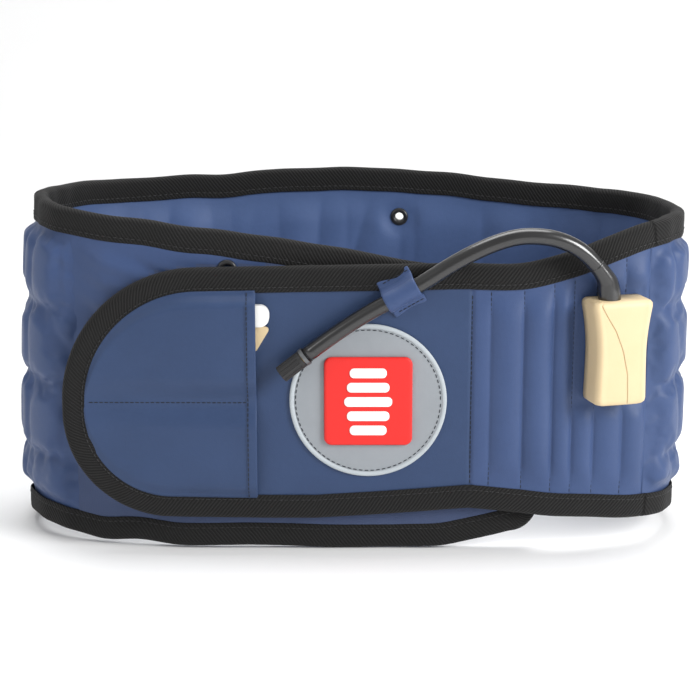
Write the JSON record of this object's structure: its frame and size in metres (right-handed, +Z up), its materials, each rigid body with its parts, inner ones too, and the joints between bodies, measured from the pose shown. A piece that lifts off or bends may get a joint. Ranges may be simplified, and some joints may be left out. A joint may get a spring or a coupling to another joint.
{
  "type": "lumbar support belt",
  "caption": "Inflatable lumbar support belt closed into an oval ring, with a lap-over front flap, pocket, air hose, valve cap and inlet housing.",
  "frame": {"origin": "under the middle of the belt's ring, on the surface it stands on", "axes": "+Z up, +X to the right of someone facing the front flap, +Y towards the back of the belt"},
  "size_m": [0.4093, 0.1841, 0.21],
  "materials": {
    "coated_cloth": "navy coated woven nylon, soft satin",
    "lining_cloth": "navy woven lining, matte",
    "air_film": "air-tight film over foam, matte",
    "binding_tape": "black twill tape, matte",
    "elastic": "knitted elastic, matte",
    "foam": "soft foam sheet",
    "board": "thin stiffening board",
    "loop_pile": "brushed loop pile, soft",
    "hook_tape": "hook tape, matte",
    "release_cap": "white moulded plastic, glossy",
    "housing_plastic": "beige moulded plastic, smooth satin",
    "patch_leatherette": "grey grained leatherette, matte",
    "patch_edge": "light grey sewn edge",
    "badge_rubber": "red soft moulded rubber, satin",
    "badge_bars": "white soft moulded rubber, satin",
    "loop_cloth": "blue coated cloth",
    "hose_rubber": "black smooth rubber, glossy",
    "steel": "plated steel",
    "brass": "turned brass",
    "cap_plastic": "black ribbed plastic, glossy",
    "gasket_rubber": "black rubber",
    "inner_plastic": "white moulded plastic",
    "eyelet_metal": "black enamelled metal"
  },
  "bodies": {
    "belt": {"front_panel_cover": "coated_cloth", "front_panel_lining": "lining_cloth", "front_panel_air_cells": "air_film", "front_panel_top_binding": "binding_tape", "front_panel_bottom_binding": "binding_tape", "right_side_cover": "coated_cloth", "right_side_lining": "lining_cloth", "right_side_air_cells": "air_film", "right_side_top_binding": "binding_tape", "right_side_bottom_binding": "binding_tape", "back_cover": "coated_cloth", "back_lining": "lining_cloth", "back_air_cells": "air_film", "back_top_binding": "binding_tape", "back_bottom_binding": "binding_tape", "left_side_cover": "coated_cloth", "left_side_lining": "lining_cloth", "left_side_air_cells": "air_film", "left_side_top_binding": "binding_tape", "left_side_bottom_binding": "binding_tape", "right_side_elastic_bands": "elastic", "left_side_elastic_bands": "elastic", "under_cover": "coated_cloth", "under_lining": "lining_cloth", "under_foam": "foam", "under_top_binding": "binding_tape", "under_bottom_binding": "binding_tape", "loop_pile": "loop_pile", "housing_front": "housing_plastic", "housing_back": "housing_plastic", "hose": "hose_rubber", "hose_boot": "hose_rubber", "housing_screws": "steel", "inlet_elbow": "inner_plastic", "back_eyelet": "eyelet_metal", "under_eyelet": "eyelet_metal"},
    "flap": {"flap_cover": "coated_cloth", "flap_lining": "lining_cloth", "flap_board": "board", "flap_binding": "binding_tape", "hook_tape": "hook_tape", "pocket_panel": "coated_cloth", "pocket_hem": "coated_cloth", "patch_disc": "patch_leatherette", "patch_edge": "patch_edge", "badge": "badge_rubber", "badge_bars": "badge_bars", "hose_loop": "loop_cloth", "hose_ferrule": "steel", "valve_stem": "brass", "valve_core": "brass", "valve_spring": "steel"},
    "pin": {"valve_pin": "brass"},
    "cap_travel": {"cap_gasket": "gasket_rubber"},
    "cap": {"valve_cap": "cap_plastic"},
    "release_cap": {"release_cap": "release_cap"},
    "adapter": {"adapter": "housing_plastic"}
  },
  "joints": [
    {"name": "flap_open", "type": "hinge", "parent": "belt", "child": "flap", "pos_m": [0.07, -0.0783, 0.1], "axis": [0, 0, 1], "range_deg": [0, 80], "deforming": ["hose"]},
    {"name": "cap_turn", "type": "hinge", "parent": "cap_travel", "child": "cap", "pos_m": [-0.0259, -0.0866, 0.1237], "axis": [-0.7877, -0.013, -0.6159], "range_deg": [0, 2160]},
    {"name": "cap_slide", "type": "slide", "parent": "flap", "child": "cap_travel", "axis": [-0.7877, -0.013, -0.6159], "range_m": [0, 0.00476]},
    {"name": "pin_press", "type": "slide", "parent": "flap", "child": "pin", "axis": [0.7877, 0.013, 0.6159], "range_m": [0, 0.0015], "stiffness_N_per_m": 200, "deforming": ["valve_spring"]},
    {"name": "release_cap_slide", "type": "slide", "parent": "flap", "child": "release_cap", "axis": [1, 0, 0], "range_m": [0, 0.024]},
    {"name": "adapter_slide", "type": "slide", "parent": "flap", "child": "adapter", "axis": [1, 0, 0], "range_m": [0, 0.024]}
  ],
  "couplings": [
    {"joint": "cap_turn", "follows": "cap_slide", "rad_per_m": 7915.8}
  ]
}
